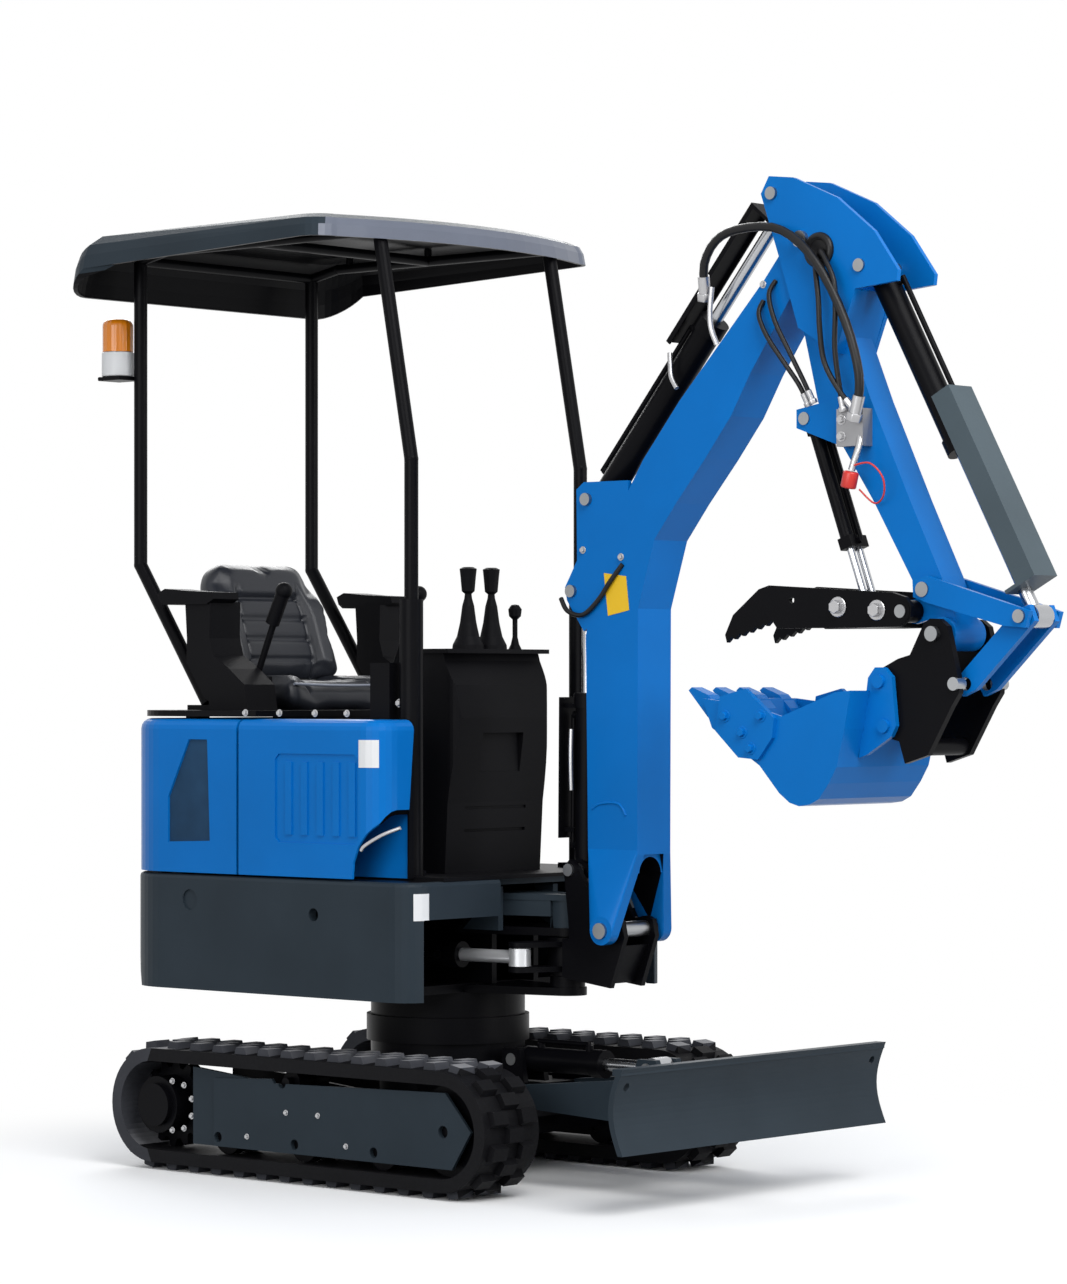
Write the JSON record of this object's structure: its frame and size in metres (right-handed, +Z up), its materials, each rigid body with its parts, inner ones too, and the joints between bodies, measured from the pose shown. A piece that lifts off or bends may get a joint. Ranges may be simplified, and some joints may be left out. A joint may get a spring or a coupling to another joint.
{
  "type": "mini excavator",
  "caption": "Small tracked excavator with a canopy, swinging boom, arm, toothed bucket, thumb, dozer blade and an opening engine hood.",
  "frame": {"origin": "middle of the machine's box at rest, on the ground", "axes": "+X forward, +Y to the machine's left, +Z up"},
  "size_m": [2.514, 0.96, 2.232],
  "materials": {
    "painted_blue": "gloss",
    "painted_slate": "satin",
    "painted_black": "satin",
    "track_rubber": "matte",
    "bright_steel": "polished",
    "grey_metal": "matte",
    "seat_vinyl": "satin",
    "amber_lens": "gloss"
  },
  "bodies": {
    "undercarriage": {"undercarriage_frame": "painted_black", "slew_ring": "grey_metal", "track_frame_right": "painted_slate", "track_frame_left": "painted_slate", "rollers_right": "painted_black", "rollers_left": "painted_black", "sprocket_right": "painted_black", "sprocket_left": "painted_black", "track_right": "track_rubber", "track_left": "track_rubber"},
    "blade": {"blade": "painted_slate"},
    "blade_barrel": {"blade_barrel": "painted_black"},
    "blade_rod": {"blade_rod": "bright_steel"},
    "house": {"house_frame": "painted_black", "counterweight": "painted_slate", "side_cover": "painted_blue", "engine_block": "grey_metal", "floor_plate": "painted_black", "console": "painted_black", "travel_levers": "painted_black", "seat_base": "painted_black", "seat_cushions": "seat_vinyl", "control_box_right": "painted_black", "control_box_left": "painted_black", "canopy_frame": "painted_black", "canopy_roof": "painted_slate", "beacon": "amber_lens"},
    "rear_hood": {"rear_hood": "painted_blue", "hood_grilles": "painted_black"},
    "swing_bracket": {"swing_bracket": "painted_black"},
    "swing_barrel": {"swing_barrel": "painted_black"},
    "swing_rod": {"swing_rod": "bright_steel"},
    "boom": {"boom": "painted_blue", "boom_hose": "painted_black"},
    "boom_barrel": {"boom_barrel": "painted_black"},
    "boom_rod": {"boom_rod": "bright_steel"},
    "arm": {"arm": "painted_blue", "valve_block": "grey_metal"},
    "arm_barrel": {"arm_barrel": "painted_black"},
    "arm_rod": {"arm_rod": "bright_steel", "arm_rod_guard": "painted_black"},
    "bucket": {"coupler": "painted_black", "bucket": "painted_blue"},
    "rocker": {"rocker": "painted_blue"},
    "link": {"bucket_link": "painted_blue"},
    "bucket_barrel": {"bucket_barrel": "painted_black"},
    "bucket_rod": {"bucket_rod": "bright_steel", "bucket_rod_guard": "painted_slate"},
    "thumb": {"thumb": "painted_black"},
    "thumb_barrel": {"thumb_barrel": "painted_black"},
    "thumb_rod": {"thumb_rod": "bright_steel"}
  },
  "joints": [
    {"name": "slew", "type": "hinge", "parent": "undercarriage", "child": "house", "pos_m": [-0.41, 0, 0.365], "axis": [0, 0, 1], "continuous": true},
    {"name": "blade_lift", "type": "hinge", "parent": "undercarriage", "child": "blade", "pos_m": [-0.08, 0, 0.2], "axis": [0, -1, 0], "range_deg": [-22, 3]},
    {"name": "blade_cylinder_turn", "type": "hinge", "parent": "undercarriage", "child": "blade_barrel", "pos_m": [-0.174, 0, 0.272], "axis": [0, -1, 0], "range_deg": [-16.65, 2.36]},
    {"name": "blade_cylinder_slide", "type": "slide", "parent": "blade_barrel", "child": "blade_rod", "axis": [1, 0, 0], "range_m": [-0.00321, 0.02225]},
    {"name": "hood_open", "type": "hinge", "parent": "house", "child": "rear_hood", "pos_m": [-0.66, 0.446, 0.9], "axis": [0, 0, -1], "range_deg": [0, 80]},
    {"name": "boom_swing", "type": "hinge", "parent": "house", "child": "swing_bracket", "pos_m": [-0.04, 0, 0.5], "axis": [0, 0, 1], "range_deg": [-50, 70]},
    {"name": "swing_cylinder_turn", "type": "hinge", "parent": "house", "child": "swing_barrel", "pos_m": [-0.47, -0.15, 0.514], "axis": [0, 0, 1], "range_deg": [-4.33, 3.12]},
    {"name": "swing_cylinder_slide", "type": "slide", "parent": "swing_barrel", "child": "swing_rod", "axis": [0.998, 0.0632, 0], "range_m": [-0.099, 0.13852]},
    {"name": "boom_lift", "type": "hinge", "parent": "swing_bracket", "child": "boom", "pos_m": [0.148, 0, 0.581], "axis": [0, 1, 0], "range_deg": [-4, 74]},
    {"name": "boom_cylinder_turn", "type": "hinge", "parent": "swing_bracket", "child": "boom_barrel", "pos_m": [0.018, 0, 0.712], "axis": [0, 1, 0], "range_deg": [-4.21, 76.12]},
    {"name": "boom_cylinder_slide", "type": "slide", "parent": "boom_barrel", "child": "boom_rod", "axis": [0.0079, 0, 1], "range_m": [-0.01213, 0.22083]},
    {"name": "arm_swing", "type": "hinge", "parent": "boom", "child": "arm", "pos_m": [0.688, 0, 2.089], "axis": [0, -1, 0], "range_deg": [-6, 72]},
    {"name": "arm_cylinder_turn", "type": "hinge", "parent": "boom", "child": "arm_barrel", "pos_m": [0.068, 0, 1.548], "axis": [0, -1, 0], "range_deg": [-5.18, 0.52]},
    {"name": "arm_cylinder_slide", "type": "slide", "parent": "arm_barrel", "child": "arm_rod", "axis": [0.6407, 0, 0.7678], "range_m": [-0.14042, 0.01188]},
    {"name": "bucket_turn", "type": "hinge", "parent": "arm", "child": "bucket", "pos_m": [1.045, 0, 1.237], "axis": [0, -1, 0], "range_deg": [0, 130]},
    {"name": "rocker_turn", "type": "hinge", "parent": "arm", "child": "rocker", "pos_m": [1.001, 0, 1.331], "axis": [0, -1, 0], "range_deg": [-0.1, 70.76]},
    {"name": "link_turn", "type": "hinge", "parent": "rocker", "child": "link", "pos_m": [1.248, 0, 1.272], "axis": [0, -1, 0], "range_deg": [-37.91, 0.1]},
    {"name": "bucket_cylinder_turn", "type": "hinge", "parent": "arm", "child": "bucket_barrel", "pos_m": [0.843, 0, 2.023], "axis": [0, -1, 0], "range_deg": [-0.1, 3.46]},
    {"name": "bucket_cylinder_slide", "type": "slide", "parent": "bucket_barrel", "child": "bucket_rod", "axis": [0.4747, 0, -0.8802], "range_m": [-0.29108, 0.0002]},
    {"name": "thumb_turn", "type": "hinge", "parent": "arm", "child": "thumb", "pos_m": [0.965, 0, 1.285], "axis": [0, 1, 0], "range_deg": [-6, 45]},
    {"name": "thumb_cylinder_turn", "type": "hinge", "parent": "arm", "child": "thumb_barrel", "pos_m": [0.674, 0, 1.705], "axis": [0, 1, 0], "range_deg": [-12.96, 1.81]},
    {"name": "thumb_cylinder_slide", "type": "slide", "parent": "thumb_barrel", "child": "thumb_rod", "axis": [0.3425, 0, -0.9395], "range_m": [-0.06439, 0.00876]}
  ],
  "couplings": [
    {"joint": "blade_cylinder_turn", "follows": "blade_lift", "ratio": 0.75233},
    {"joint": "blade_cylinder_slide", "follows": "blade_lift", "m_per_rad": -0.057431},
    {"joint": "swing_cylinder_turn", "follows": "boom_swing", "ratio": -0.060457},
    {"joint": "swing_cylinder_slide", "follows": "boom_swing", "m_per_rad": 0.11321},
    {"joint": "boom_cylinder_turn", "follows": "boom_lift", "ratio": 1.0273},
    {"joint": "boom_cylinder_slide", "follows": "boom_lift", "m_per_rad": 0.17083},
    {"joint": "arm_cylinder_turn", "follows": "arm_swing", "ratio": -0.070615},
    {"joint": "arm_cylinder_slide", "follows": "arm_swing", "m_per_rad": -0.11158},
    {"joint": "rocker_turn", "follows": "bucket_turn", "ratio": 0.54353},
    {"joint": "link_turn", "follows": "bucket_turn", "ratio": -0.29084},
    {"joint": "bucket_cylinder_turn", "follows": "bucket_turn", "ratio": 0.025842},
    {"joint": "bucket_cylinder_slide", "follows": "bucket_turn", "m_per_rad": -0.1282},
    {"joint": "thumb_cylinder_turn", "follows": "thumb_turn", "ratio": -0.28572},
    {"joint": "thumb_cylinder_slide", "follows": "thumb_turn", "m_per_rad": -0.081726}
  ]
}
